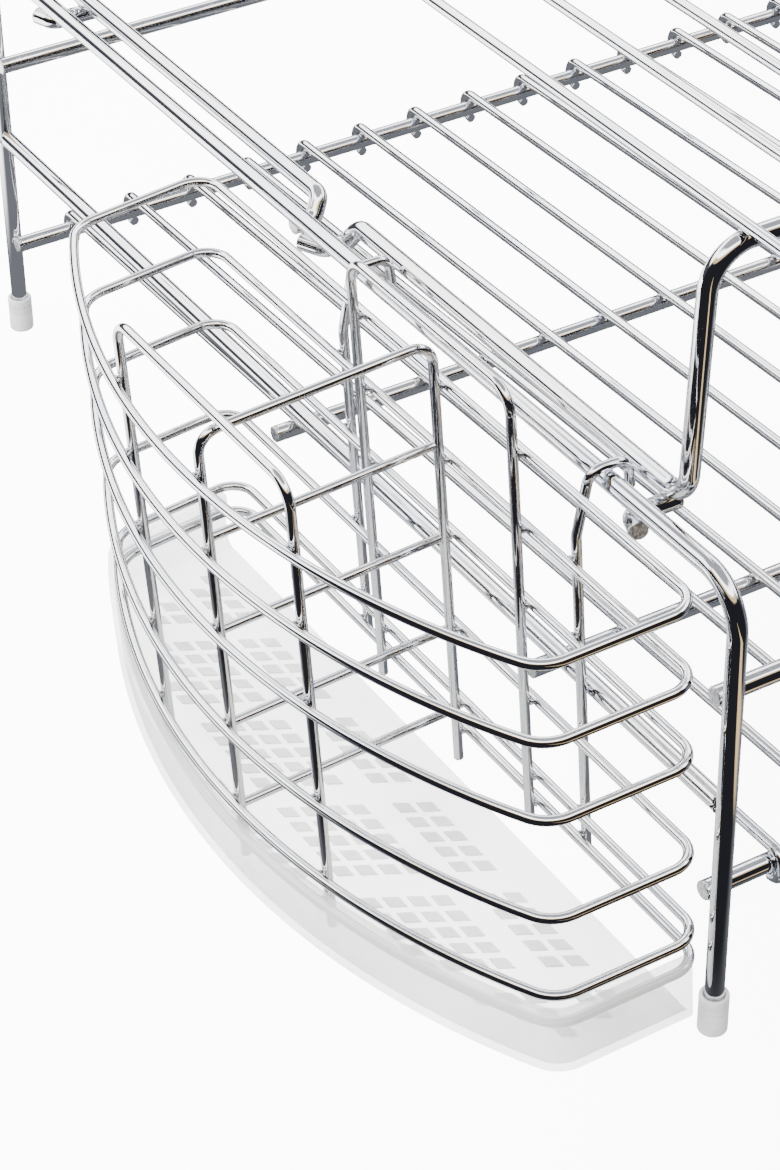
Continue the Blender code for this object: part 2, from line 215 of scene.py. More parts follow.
class Finish:
    def __init__(self, name, **constants):
        self.material = bpy.data.materials.new(name)
        self.material.use_nodes = True
        self.tree = self.material.node_tree
        self.shader = self.tree.nodes["Principled BSDF"]
        self.feed(**constants)

    def put(self, socket, value):
        if isinstance(value, Link):
            self.tree.links.new(value.socket, socket)
        else:
            socket.default_value = value

    def node(self, kind, settings=None, inputs=None, output=0):
        made = self.tree.nodes.new(kind)
        for name, value in (settings or {}).items():
            setattr(made, name, value)
        for key, value in (inputs or {}).items():
            self.put(made.inputs[key], value)
        return Link(self, made.outputs[output])

    def feed(self, **sockets):
        for name, value in sockets.items():
            self.put(self.shader.inputs[name.replace("_", " ")], value)

    def place(self):
        return self.node("ShaderNodeTexCoord", output="Object")

    def cloud(self, scale, detail=2.0, stretch=(1, 1, 1)):
        """Soft noise over the surface, from 0 to 1. Scale is in blobs a metre."""
        where = self.node("ShaderNodeMapping", inputs={"Vector": self.place(), "Scale": stretch})
        return self.node("ShaderNodeTexNoise", inputs={"Vector": where, "Scale": scale, "Detail": detail})

    def above(self, value, low, high):
        """0 where value is under low, 1 where it is over high, smooth between."""
        inputs = {"Value": value, "From Min": low, "From Max": high}
        return self.node("ShaderNodeMapRange", {"interpolation_type": "SMOOTHSTEP"}, inputs)

    def blend(self, mask, first, second):
        """Colours are mixed by a Mix node, because a Math node would turn them grey."""
        inputs = {0: mask, 6: first, 7: second}
        return self.node("ShaderNodeMix", {"data_type": "RGBA"}, inputs, output=2)

    def bump(self, height, depth, strength=1.0):
        inputs = {"Height": height, "Distance": depth, "Strength": strength}
        return self.node("ShaderNodeBump", inputs=inputs)


print("a Finish has", len(Finish("trial").shader.inputs), "inputs on its shader")
bpy.data.materials.remove(bpy.data.materials["trial"])

# %% [markdown]
# ## Chrome plate
# Bright chrome on drawn wire is nearly a mirror. What tells it from a perfect one is small: the steel
# below is a little wavy, so straight reflections wander; the plating clouds slightly, more on thin
# wires where the bath deposits unevenly; and its colour drifts between cool blue and faint straw.
# All of that is noise, from half a millimetre to a few centimetres across, held to a few hundredths of
# the roughness.

# %% Chrome finishes
COOL_CHROME = (0.80, 0.82, 0.87, 1.0)
PLAIN_CHROME = (0.90, 0.90, 0.91, 1.0)
STRAW_CHROME = (0.86, 0.81, 0.74, 1.0)
WELD_GREY = (0.30, 0.31, 0.34, 1.0)
STEEL_GREY = (0.46, 0.46, 0.48, 1.0)


def chrome(name, haze, straw, wave):
    finish = Finish(name, Metallic=1.0)
    drift = finish.above(finish.cloud(28, 2), 0.40, 0.68)
    warm = finish.above(finish.cloud(45, 3, (1.0, 1.3, 0.7)), 0.62, 0.78) * straw
    finish.feed(Base_Color=finish.blend(warm, finish.blend(drift, PLAIN_CHROME, COOL_CHROME), STRAW_CHROME))
    clouding = finish.above(finish.cloud(160, 4), 0.35, 0.75)
    specks = finish.above(finish.cloud(2600, 1), 0.66, 0.74)
    finish.feed(Roughness=0.025 + clouding * haze + specks * 0.06)
    waves = finish.bump(finish.cloud(160, 1), wave)
    pits = finish.node(
        "ShaderNodeBump",
        inputs={"Height": specks * -1.0, "Distance": 0.004 * MM, "Strength": 0.6, "Normal": waves},
    )
    finish.feed(Normal=pits)
    return finish.material


def weld_finish():
    """A spot weld scorches and pits the steel, and the plating over it stays dull and dark."""
    finish = Finish("plated_weld", Metallic=1.0)
    scorch = finish.above(finish.cloud(900, 3), 0.35, 0.65)
    finish.feed(Base_Color=finish.blend(scorch, PLAIN_CHROME, WELD_GREY))
    finish.feed(Roughness=0.10 + scorch * 0.18)
    finish.feed(Normal=finish.bump(finish.cloud(1500, 2), 0.12 * MM))
    return finish.material


def cut_finish():
    """A sheared end is bare and dragged: fine lines across a grey face."""
    finish = Finish("sheared_end", Metallic=1.0)
    drag = finish.cloud(700, 3, (1.0, 5.0, 1.0))
    finish.feed(Base_Color=finish.blend(finish.above(drag, 0.4, 0.6), STEEL_GREY, PLAIN_CHROME))
    finish.feed(Roughness=0.28 + drag * 0.2, Normal=finish.bump(drag, 0.08 * MM))
    return finish.material


CHROME = chrome("chrome_frame_wire", 0.035, 0.35, 0.010 * MM)
THIN_CHROME = chrome("chrome_thin_wire", 0.050, 0.20, 0.006 * MM)
BASKET_CHROME = chrome("chrome_basket_wire", 0.045, 0.45, 0.010 * MM)
WELD = weld_finish()
CUT = cut_finish()
print("metals:", [m.name for m in (CHROME, THIN_CHROME, BASKET_CHROME, WELD, CUT)])

# %% [markdown]
# ## Small solids from a lathe and from melted metal
# Two kinds of small shape finish a wire frame. A cut end is a turned disc with a broken edge. A weld is
# metal squeezed out between two wires, which is a ball pressed flat and pushed about by noise. Both are
# collected in one mesh for each group, because nobody takes a single weld off a rack.

# %% Beads and cut ends


def mesh_piece(name, builder, finishes, body, nodes):
    mesh = bpy.data.meshes.new(name)
    builder.to_mesh(mesh)
    builder.free()
    for finish in finishes:
        mesh.materials.append(finish)
    made = bpy.data.objects.new(name, mesh)
    bpy.context.scene.collection.objects.link(made)
    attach(made, body)
    if nodes:
        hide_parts(*nodes)
    return made


def add_bead(builder, spot, sizes, matrix=None, lumps=0.22):
    """A lumpy weld bead at the spot, with half sizes along x, y and z."""
    made = bmesh.ops.create_icosphere(builder, subdivisions=2, radius=1.0)["verts"]
    for vert in made:
        wobble = 1 + lumps * noise.noise(vert.co * 1.7 + spot * 900)
        local = Vector(size * part for size, part in zip(sizes, vert.co)) * wobble + spot
        vert.co = matrix @ local if matrix else local
    for vert in made:
        for face in vert.link_faces:
            face.smooth = True


CUT_RINGS = ((1.0, -0.35), (1.0, 0.02), (0.93, 0.10), (0.80, 0.13), (0.40, 0.10))  # radius, height
CUT_SIDES = 24


def add_cut_end(builder, spot, direction, radius):
    """A sheared end, facing the direction: an edge broken by the shears round a dished face."""
    turn = Vector((0, 0, 1)).rotation_difference(direction.normalized()).to_matrix()
    rings = []
    for share, height in CUT_RINGS:
        ring = []
        for i in range(CUT_SIDES):
            angle = 2 * pi * i / CUT_SIDES
            burr = 1 + 0.03 * noise.noise(Vector((cos(angle), sin(angle), share)) * 2 + spot * 500)
            local = Vector((cos(angle) * share * burr, sin(angle) * share * burr, height)) * radius
            ring.append(builder.verts.new(spot + turn @ local))
        rings.append(ring)
    for low, high in zip(rings, rings[1:]):
        for i in range(CUT_SIDES):
            j = (i + 1) % CUT_SIDES
            face = builder.faces.new((low[i], low[j], high[j], high[i]))
            face.smooth = True
    builder.faces.new(rings[-1])
    builder.faces.new(reversed(rings[0]))


rack_beads = bmesh.new()
rack_ends = bmesh.new()
basket_beads = bmesh.new()
basket_ends = bmesh.new()
print("a cut end has", len(CUT_RINGS) * CUT_SIDES, "points")

# %% [markdown]
# ## End frames and crossbars
# Each end of the rack is one 6 mm wire bent to an upturned U: two legs and a top bar. A crossbar is
# butted between the legs. A curve with a round bevel gives exactly the drawn wire, so no modelling
# beyond the path is needed; the weld at each butt joint is a collar of beads.

# %% End frames
END_BEND_R = 15.0 * MM
COLLAR_BEADS = 6
COLLAR_BEAD = (1.0 * MM, 0.7 * MM, 1.0 * MM)
COLLAR_R = FRAME_R * 0.82


def end_frame(side, x):
    corners = [(x, NEAR_Y, LEG_END_Z), (x, NEAR_Y, TOP_Z), (x, FAR_Y, TOP_Z), (x, FAR_Y, LEG_END_Z)]
    path = rounded(corners, (END_BEND_R, END_BEND_R))
    wire(f"end_frame_{side}_wire", path, FRAME_R, CHROME, "rack", f"end_frame_{side}")
    bar = f"end_crossbar_{side}"
    z = middle(bar).z
    reach = span(bar).y / 2
    ends = [Vector((x, middle(bar).y - reach, z)), Vector((x, middle(bar).y + reach, z))]
    wire(f"{bar}_wire", ends, FRAME_R, CHROME, "rack", bar)
    for spot in ends:
        for i in range(COLLAR_BEADS):
            angle = 2 * pi * i / COLLAR_BEADS
            around = Vector((cos(angle), 0, sin(angle))) * COLLAR_R
            add_bead(rack_beads, spot + around, COLLAR_BEAD)


for side, (x, inward) in zip(("left", "right"), SIDES):
    end_frame(side, x)
print("end frames", round((RIGHT_X - LEFT_X) / MM), "mm apart")

# %% [markdown]
# ## Long rails
# Six straight wires run from end to end. The outer ones are welded to the legs, and their sheared ends
# stand a little past them, so every rail gets cut ends, and each crossing with a leg gets a bead on
# either side of the contact.

# %% Rails
GRID_RAILS = ("grid_rail_near", "grid_rail_mid_near", "grid_rail_mid_far", "grid_rail_far")
RAILS = ("side_rail_near", "side_rail_far", *GRID_RAILS)
RAIL_BEAD = (1.2 * MM, 0.6 * MM, 1.5 * MM)
RAIL_BEAD_ASIDE = 1.1 * MM


def rail(name):
    low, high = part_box(name)
    y, z = middle(name).y, middle(name).z
    ends = [Vector((low.x, y, z)), Vector((high.x, y, z))]
    wire(f"{name}_wire", ends, FRAME_R, CHROME, "rack", name)
    for spot, way in zip(ends, (-1, 1)):
        add_cut_end(rack_ends, spot, Vector((way, 0, 0)), FRAME_R)
    if "mid" in name:
        return
    leg_y = NEAR_Y if name.endswith("near") else FAR_Y
    for x, inward in SIDES:
        contact = Vector((x, (leg_y + y) / 2, z))
        for across in (-1, 1):
            add_bead(rack_beads, contact + Vector((across * RAIL_BEAD_ASIDE, 0, 0)), RAIL_BEAD)


for name in RAILS:
    rail(name)
print(len(RAILS), "rails")

# %% [markdown]
# ## The plate grid
# Thin wires lie across the rails and turn round the outer ones in a hook, so no sharp end can scratch
# a plate or a hand. Each is the same path moved along x.

# %% Grid wires
HOOK_STEPS = 14
CROSSING_BEAD = (1.5 * MM, 1.4 * MM, 0.6 * MM)  # under a thin wire, where it crosses a rail


def hooked_end(rail_name, outward):
    """Points (y, z) round a rail, from on top of it, over its outer side, to below it."""
    around = FRAME_R + GAP + GRID_R
    rail_y, rail_z = middle(rail_name).y, middle(rail_name).z
    angles = [pi * i / HOOK_STEPS for i in range(HOOK_STEPS + 1)]
    return [(rail_y + outward * around * sin(a), rail_z + around * cos(a)) for a in angles]


section = hooked_end("grid_rail_near", -1)[::-1] + hooked_end("grid_rail_far", 1)
grid_nodes = sorted(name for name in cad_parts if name.startswith("grid_wire"))
for name in grid_nodes:
    x = middle(name).x
    path = [Vector((x, y, z)) for y, z in section]
    wire(f"{name}_wire", path, GRID_R, THIN_CHROME, "rack", name)
    for rail_name in GRID_RAILS:
        contact = Vector((x, middle(rail_name).y, middle(rail_name).z + FRAME_R + GAP / 2))
        add_bead(rack_beads, contact, CROSSING_BEAD)
print(len(grid_nodes), "grid wires")

# %% [markdown]
# ## The upper shelf
# One long wire makes each side of the shelf: it starts under the end frame's top bar, turns up beside
# it, runs along as a base bar, climbs as a post, crosses as the shelf rail and does the same again at
# the other end. The path is written for one end only, and mirrored.

# %% Shelf frames, feet and wires
POST_X = 12.7 * MM
POST_LEAN = 0.029
POST_SPREAD = 1.8 * MM
POST_Y = 42.0 * MM
DEPTH = FAR_Y - NEAR_Y
UNDER = -(2 * FRAME_R + GAP)  # from the top bar's middle to a wire's welded under it
BASE_TURN_X = 8.5 * MM
BASE_TURN_RUN = 3.0 * MM
STUB_TURN = (2.0 * MM, 1.5 * MM)  # inward, and onward from the base bar's end
STUB_TIP = (-1.5 * MM, 9.0 * MM)
STUB_BEND_R = 4.0 * MM
PLAIN_TIP_X = 1.2 * MM
STUB_BEAD = (1.8 * MM, 1.8 * MM, 0.7 * MM)
STUB_BEAD_AT = (0.8 * MM, 2.0 * MM)
SHELF_RISE = middle("shelf_wire_01").z - TOP_Z - (FRAME_R + GAP + GRID_R)
SHELF_BENDS = [radius * MM for radius in (5.0, 4.0, 9.0, 13.5)]


def shelf_end(post_y, base_end_y, onward, stub):
    """Corners (x inward, y from the near legs, rise over the top bar) and radii of one end."""
    rise = SHELF_RISE
    corners = [
        (BASE_TURN_X, base_end_y, UNDER),
        (POST_X, base_end_y - onward * BASE_TURN_RUN, 0.0),
        (POST_X, post_y, 0.0),
        (POST_X + POST_LEAN * rise, post_y - onward * POST_SPREAD, rise),
    ]
    if stub:
        tip = (STUB_TIP[0], base_end_y + onward * STUB_TIP[1], UNDER)
        turn = (STUB_TURN[0], base_end_y + onward * STUB_TURN[1], UNDER)
        return [tip, turn, *corners], [STUB_BEND_R, *SHELF_BENDS]
    return [(PLAIN_TIP_X, base_end_y, UNDER), *corners], SHELF_BENDS


def from_end(x, inward, spot):
    return Vector((x + inward * spot[0], NEAR_Y + spot[1], TOP_Z + spot[2]))


def shelf_frame(side, post_y, base_end_y, onward, stub):
    corners, radii = shelf_end(post_y, base_end_y, onward, stub)
    left = [from_end(LEFT_X, 1, spot) for spot in corners]
    right = [from_end(RIGHT_X, -1, spot) for spot in reversed(corners)]
    path = rounded(left + right, radii + radii[::-1])
    name = f"shelf_frame_{side}"
    wire(f"{name}_wire", path, FRAME_R, CHROME, "rack", name)
    for spot, after in ((path[0], path[1]), (path[-1], path[-2])):
        add_cut_end(rack_ends, spot, spot - after, FRAME_R)
    for x, inward in SIDES:
        bead_y = base_end_y + onward * STUB_BEAD_AT[1]
        add_bead(rack_beads, from_end(x, inward, (STUB_BEAD_AT[0], bead_y, UNDER / 2)), STUB_BEAD)


FOOT_Y = 51.5 * MM
FOOT_TIP = 7.2 * MM
FOOT_XS = (16.5 * MM, 0.8 * MM, -1.8 * MM)  # its inner end, its bend and its turned outer end
FOOT_BEND_R = 3.5 * MM
FOOT_BEAD = (1.6 * MM, 1.0 * MM, 0.8 * MM)
FOOT_BEAD_ASIDE = 1.6 * MM
FOOT_BEAD_X = 0.3 * MM


def shelf_foot(name, x, inward, y, tip):
    """A short wire under the base bar and the top bar, its outer end turned by tip along y."""
    spots = zip(FOOT_XS, (y, y, y + tip))
    corners = [from_end(x, inward, (foot_x, foot_y, UNDER)) for foot_x, foot_y in spots]
    path = rounded(corners, (FOOT_BEND_R,))
    wire(f"{name}_wire", path, FRAME_R, CHROME, "rack", name)
    for spot, after in ((path[0], path[1]), (path[-1], path[-2])):
        add_cut_end(rack_ends, spot, spot - after, FRAME_R)
    for reach in (FOOT_BEAD_X, POST_X):
        contact = from_end(x, inward, (reach, y, UNDER / 2))
        for across in (-1, 1):
            add_bead(rack_beads, contact + Vector((0, across * FOOT_BEAD_ASIDE, 0)), FOOT_BEAD)


POSTS = {"near": (POST_Y, 221.0 * MM, 1, True), "far": (DEPTH - POST_Y, 240.0 * MM, -1, False)}
for side, (post_y, base_end_y, onward, stub) in POSTS.items():
    shelf_frame(side, post_y, base_end_y, onward, stub)
for side, (x, inward) in zip(("left", "right"), SIDES):
    shelf_foot(f"shelf_foot_near_{side}", x, inward, FOOT_Y, -FOOT_TIP)
    shelf_foot(f"shelf_foot_far_{side}", x, inward, DEPTH - FOOT_Y, FOOT_TIP)
shelf_nodes = sorted(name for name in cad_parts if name.startswith("shelf_wire"))
for name in shelf_nodes:
    low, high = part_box(name)
    x, z = middle(name).x, middle(name).z
    ends = [Vector((x, low.y, z)), Vector((x, high.y, z))]
    wire(f"{name}_wire", ends, GRID_R, THIN_CHROME, "rack", name)
    for spot, way in zip(ends, (-1, 1)):
        add_cut_end(rack_ends, spot, Vector((0, way, 0)), GRID_R)
    for post_y, base_end_y, onward, stub in POSTS.values():
        rail_y = NEAR_Y + post_y - onward * POST_SPREAD
        contact = Vector((x, rail_y, z - GRID_R - GAP / 2))
        add_bead(rack_beads, contact, CROSSING_BEAD)
print("shelf rail", round((TOP_Z + SHELF_RISE) / MM), "mm up,", len(shelf_nodes), "shelf wires")

# %% [markdown]
# ## Basket rings
# Six closed rings, straight behind and bowed in front, make the basket. The bow is a true arc, so it
# is computed from its radius; only the two corners at each side come from the bender.

# %% Rings
BOW_STEPS = 22


def ring_outline(outset=0.0):
    """Corners (x, y) and radii of a ring, which starts and ends at the middle of its back."""
    half = HALF_WIDTH + outset
    depth = bow_x(half - 2.0 * MM) + outset * 0.2
    front_y = half + depth * tan(END_SPLAY)
    corner_x = bow_x(front_y, outset)
    last = asin((front_y - FRONT_CORNER_R * 0.9) / (BOW_R + outset))
    angles = [last * i / BOW_STEPS for i in range(-BOW_STEPS, BOW_STEPS + 1)]
    reach = BOW_REACH + outset
    bow = [((BOW_R + outset) * (1 - cos(a)) - reach, (BOW_R + outset) * sin(a)) for a in angles]
    corners = [(0, 0), (0, -half), (corner_x, -front_y), *bow, (corner_x, front_y), (0, half), (0, 0)]
    radii = [BACK_CORNER_R, FRONT_CORNER_R, *[0.0] * len(bow), FRONT_CORNER_R, BACK_CORNER_R]
    return corners, radii


def smooth_ring(outset=0.0):
    corners, radii = ring_outline(outset)
    return rounded([(x, y, 0.0) for x, y in corners], radii)


flat_ring = smooth_ring()[:-1]
for number, drop in enumerate(RING_DROPS, 1):
    path = [TO_WORLD @ Vector((spot.x, spot.y, -drop)) for spot in flat_ring]
    name = f"basket_ring_{number}"
    wire(f"{name}_wire", path, BASKET_R, BASKET_CHROME, "basket", name, closed=True)
print(len(RING_DROPS), "rings of", len(flat_ring), "points")

# %% [markdown]
# ## Upright basket wires
# The uprights hold the rings at their heights: a hoop inside the bow, a brace inside the back, a cross
# panel that divides the basket, and two hangers that end in hooks over the top bar. Each leg touches
# all six rings, but for the hangers, which bend away below the top one, and each touch is a weld.

# %% Hoop, brace, panel and hangers
RING_BEAD = (0.6 * MM, 0.7 * MM, 1.2 * MM)
RING_BEAD_ASIDE = 1.0 * MM
RING_BEAD_BELOW = 0.2 * MM


def upright(node, corners, radii):
    path = [TO_WORLD @ spot for spot in rounded(corners, radii)]
    wire(f"{node}_wire", path, BASKET_R, BASKET_CHROME, "basket", node)
    return path


def weld_leg(x, y, ring_x, foot, drops=RING_DROPS):
    """Beads where a leg at x touches the rings, whose wire is at ring_x, and its cut foot."""
    for drop in drops:
        for across in (-1, 1):
            spot = Vector(((x + ring_x) / 2, y + across * RING_BEAD_ASIDE, -drop - RING_BEAD_BELOW))
            add_bead(basket_beads, spot, RING_BEAD, TO_WORLD)
    foot_at = TO_WORLD @ Vector((x, y, foot))
    add_cut_end(basket_ends, foot_at, foot_at - TO_WORLD @ Vector((x, y, 0)), BASKET_R)


HOOP_BEND_R = 8.0 * MM


def hoop(node, x, legs_y, top, foot):
    corners = [(x, legs_y[0], foot), (x, legs_y[0], top), (x, legs_y[1], top), (x, legs_y[1], foot)]
    upright(node, corners, (HOOP_BEND_R, HOOP_BEND_R))


HOOP_Y = (-50.8 * MM, 50.1 * MM)
HOOP_X = bow_x(HOOP_Y[0]) + SIDE_BY_SIDE
HOOP_TOP, HOOP_FOOT = 20.5 * MM, -143.0 * MM
BRACE_Y = (-50.3 * MM, 36.8 * MM)
BRACE_TOP, BRACE_FOOT = 21.06 * MM, -139.0 * MM
hoop("front_hoop", HOOP_X, HOOP_Y, HOOP_TOP, HOOP_FOOT)
hoop("back_brace", -SIDE_BY_SIDE, BRACE_Y, BRACE_TOP, BRACE_FOOT)
for y in HOOP_Y:
    weld_leg(HOOP_X, y, bow_x(y), HOOP_FOOT)
for y in BRACE_Y:
    weld_leg(-SIDE_BY_SIDE, y, 0.0, BRACE_FOOT)

PANEL_Y = -8.8 * MM
PANEL_SKEW_Y = 2.8 * MM
PANEL_SAG = 2.4 * MM
PANEL_TOP, PANEL_FOOT = 15.6 * MM, -143.0 * MM
PANEL_BARS = [drop * MM for drop in (20.65, 54.8, 90.4, 123.0)]
BAR_R = 1.5 * MM
BAR_OFFSET = 0.4 * MM
BAR_BEAD = (0.7 * MM, 1.3 * MM, 1.3 * MM)
BAR_BEAD_INSET = 1.5 * MM
PANEL_BEND_R = 7.0 * MM
front_y = PANEL_Y + PANEL_SKEW_Y
front_x = bow_x(front_y) + SIDE_BY_SIDE
corners = [
    (front_x, front_y, PANEL_FOOT - PANEL_SAG),
    (front_x, front_y, PANEL_TOP - PANEL_SAG),
    (-SIDE_BY_SIDE, PANEL_Y, PANEL_TOP),
    (-SIDE_BY_SIDE, PANEL_Y, PANEL_FOOT),
]
upright("divider_panel", corners, (PANEL_BEND_R, PANEL_BEND_R))
weld_leg(front_x, front_y, bow_x(front_y), PANEL_FOOT - PANEL_SAG)
weld_leg(-SIDE_BY_SIDE, PANEL_Y, 0.0, PANEL_FOOT)
for number, drop in enumerate(PANEL_BARS, 1):
    front = Vector((front_x, front_y + BAR_OFFSET, -drop - PANEL_SAG))
    back = Vector((-SIDE_BY_SIDE, PANEL_Y + BAR_OFFSET, -drop))
    bar = [TO_WORLD @ front, TO_WORLD @ back]
    wire(f"divider_bar_{number}", bar, BAR_R, BASKET_CHROME, "basket", None)
    for spot, way in ((front, 1), (back, -1)):
        add_bead(basket_beads, spot + Vector((way * BAR_BEAD_INSET, 0, 0)), BAR_BEAD, TO_WORLD)

HANGER_YS = {"near": -71.0 * MM, "far": 57.6 * MM}
HANGER_FOOT = -137.0 * MM
HOOK_LEAN_Y = -2.8 * MM
HOOK_START = -19.0 * MM  # where a hanger leaves the basket's back
HOOK_OVER = FRAME_R + BASKET_R + GAP + 0.1 * MM
HOOK_SPOTS = ((-6.4 * MM, HOOK_OVER), (6.4 * MM, HOOK_OVER), (7.6 * MM, -4.5 * MM))  # from the top bar
HANGER_BENDS = (10.0 * MM, 4.6 * MM, 4.6 * MM)
to_basket = TO_WORLD.inverted()
for side, y in HANGER_YS.items():
    hook_y = BASKET_AT.y + y + HOOK_LEAN_Y
    corners = [Vector((SIDE_BY_SIDE, y, HANGER_FOOT)), Vector((SIDE_BY_SIDE, y, HOOK_START))]
    corners += [to_basket @ Vector((LEFT_X + x, hook_y, TOP_Z + z)) for x, z in HOOK_SPOTS]
    path = upright(f"hanger_{side}", corners, HANGER_BENDS)
    add_cut_end(basket_ends, path[-1], path[-1] - path[-2], BASKET_R)
    weld_leg(SIDE_BY_SIDE, y, 0.0, HANGER_FOOT, RING_DROPS[1:])
print("panel", round((front_x + SIDE_BY_SIDE) / -MM), "mm deep")

# %% [markdown]
# ## Four pieces of welds and ends
# The beads and cut ends gathered so far become one mesh for each body and kind, so a body's welds are
# one piece and ride with it.

# %% Beads and ends become pieces
mesh_piece("rack_welds", rack_beads, [WELD], "rack", [])
mesh_piece("rack_wire_ends", rack_ends, [CUT], "rack", [])
mesh_piece("basket_welds", basket_beads, [WELD], "basket", [])
mesh_piece("basket_wire_ends", basket_ends, [CUT], "basket", [])
print("welds and cut ends made")

# %% [markdown]
# ## The drip tray
# The tray is a thin moulding: a floor, a wall just outside the lowest ring, and a rolled rim that rides
# on that ring. A moulded wall has one section all the way round, so the section is swept along the
# outline. Moving each point of the outline along its own normal keeps the wall's thickness even,
# which scaling the outline would not.

# %% Tray shell
TRAY_WALL = BASKET_R + 0.8 * MM  # inner face of the wall from the ring's middle line
TRAY_THICK = 1.6 * MM
TRAY_LIP = 2.6 * MM
TRAY_BACK = -6.0 * MM
FLOOR_TOP = -147.8 * MM
FLOOR_UNDER = FLOOR_TOP - TRAY_THICK
RIM_TOP = -125.5 * MM
RIM_UNDER = GAP + BASKET_R - RING_DROPS[-1]
FILLET = 3.0 * MM
ROUND_STEPS = 6


def quarter(centre, radius, first, last):
    """Points of an arc in a wall section, between two angles in degrees."""
    angles = [radians(first + (last - first) * i / ROUND_STEPS) for i in range(ROUND_STEPS + 1)]
    return [(centre[0] + radius * cos(a), centre[1] + radius * sin(a)) for a in angles]


def wall_section():
    """(distance outside the inner wall, height) round the wall, from the floor's top to its underside."""
    edge = 1.1 * MM
    lip, outer = -TRAY_LIP, TRAY_THICK
    points = quarter((-FILLET, FLOOR_TOP + FILLET), FILLET, -90, 0)
    points += [(0.0, RIM_UNDER - 0.4 * MM)]
    points += quarter((lip + edge, RIM_UNDER + edge), edge, 270, 180)
    points += quarter((lip + edge, RIM_TOP - edge), edge, 180, 90)
    points += quarter((outer - edge, RIM_TOP - edge), edge, 90, 0)
    points += quarter((outer - FILLET, FLOOR_UNDER + FILLET), FILLET, 0, -90)
    return points


def tray_outline():
    """The inner wall's line from the open back, round the front and to the back again."""
    path = smooth_ring(TRAY_WALL)
    widest = max(spot.y for spot in path)
    keep = [spot for spot in path if spot.x < -(BACK_CORNER_R + TRAY_WALL)]
    return [Vector((TRAY_BACK, -widest, 0)), *keep, Vector((TRAY_BACK, widest, 0))]


def outward(path):
    """The unit normal, in the plane, at each point of an open path that runs from -y to +y."""
    normals = []
    for i in range(len(path)):
        way = path[min(i + 1, len(path) - 1)] - path[max(i - 1, 0)]
        normals.append(Vector((-way.y, way.x, 0)).normalized())
    normals[0], normals[-1] = Vector((0, -1, 0)), Vector((0, 1, 0))
    return normals


outline = tray_outline()
normals = outward(outline)
section = wall_section()
builder = bmesh.new()
grid = [
    [builder.verts.new(TO_WORLD @ (spot + normal * out + Vector((0, 0, z)))) for out, z in section]
    for spot, normal in zip(outline, normals)
]
for line, after in zip(grid, grid[1:]):
    for j in range(len(section) - 1):
        builder.faces.new((line[j], after[j], after[j + 1], line[j + 1])).smooth = True
builder.faces.new([line[0] for line in reversed(grid)])
builder.faces.new([line[-1] for line in grid])
builder.faces.new(grid[0])
builder.faces.new(reversed(grid[-1]))
builder.faces.new((grid[0][0], grid[-1][0], grid[-1][-1], grid[0][-1]))
bmesh.ops.recalc_face_normals(builder, faces=builder.faces)
print("tray wall", len(outline), "by", len(section), "points")

# %% [markdown]
# ## Translucent plastic
# The tray is milky polypropylene: it lets light through but no clear picture. A partly transparent
# Principled shader gives that without the cost of scattering through a volume. Milkiness follows
# clouds in the moulding, and the floor carries patches of small slanted grip pads, which are real
# raised shapes. Their darker grey is painted shade, standing for the shadow seen through the floor's
# drainage holes.

# %% Tray finishes and grip pads


def tray_finish(name, colour, shade, alpha):
    finish = Finish(name, Coat_Weight=0.15, Coat_Roughness=0.1, IOR=1.49)
    milk = finish.above(finish.cloud(22, 3), 0.3, 0.7)
    finish.feed(Base_Color=finish.blend(milk, (*colour, 1.0), (*shade, 1.0)))
    finish.feed(Roughness=0.24 + finish.cloud(300, 2) * 0.16)
    finish.feed(Alpha=alpha + milk * 0.08)
    finish.feed(Normal=finish.bump(finish.cloud(1100, 2), 0.03 * MM))
    return finish.material


TRAY = tray_finish("tray_plastic_clear", (0.93, 0.94, 0.92), (0.88, 0.90, 0.88), 0.42)
# Painted shade: the pads' darker grey stands for the shadow seen through drainage holes.
PAD_SHADE_FINISH = tray_finish("tray_pad_painted_shade", (0.66, 0.67, 0.65), (0.60, 0.61, 0.60), 0.46)
mesh_piece("drip_tray_shell", builder, [TRAY], "tray", ["drip_tray"])

PAD_ALONG = Vector((0.85, -0.53, 0.0))  # the pads' slanted sides, in the tray's plane
PAD_ACROSS = Vector((0.0, -1.0, 0.0))
PAD_PITCH = (7.4 * MM, 8.2 * MM)
PAD_SIZE = (5.4 * MM, 5.2 * MM)
PAD_HEIGHT = 0.5 * MM
PAD_TAPER = 0.9  # its top's size as a share of its foot's
PATCH = (4, 5)  # pads in a patch, along and across
PATCH_GAP = (7.0 * MM, 9.0 * MM)
PATCH_START = Vector((-92.0 * MM, 178.0 * MM, 0.0))
PATCHES = (4, 8)
FLOOR_MARGIN = 7.0 * MM


def on_floor(spot):
    """True where a spot of the tray's plane is on its floor, clear of the wall."""
    inside_bow = spot.x > bow_x(min(abs(spot.y), HALF_WIDTH)) + FLOOR_MARGIN
    return inside_bow and spot.x < TRAY_BACK - FLOOR_MARGIN and abs(spot.y) < HALF_WIDTH - FLOOR_MARGIN


def add_pad(builder, corner):
    along, across = PAD_ALONG.normalized() * PAD_SIZE[0], PAD_ACROSS * PAD_SIZE[1]
    plan = [corner, corner + along, corner + along + across, corner + across]
    if not all(on_floor(spot) for spot in plan):
        return 0
    centre = sum(plan, Vector()) / 4
    lower = [builder.verts.new(TO_WORLD @ (p + Vector((0, 0, FLOOR_TOP)))) for p in plan]
    shrunk = [centre + (p - centre) * PAD_TAPER + Vector((0, 0, FLOOR_TOP + PAD_HEIGHT)) for p in plan]
    upper = [builder.verts.new(TO_WORLD @ p) for p in shrunk]
    builder.faces.new(upper)
    for i in range(4):
        j = (i + 1) % 4
        builder.faces.new((lower[i], lower[j], upper[j], upper[i]))
    builder.faces.new(reversed(lower))
    return 1


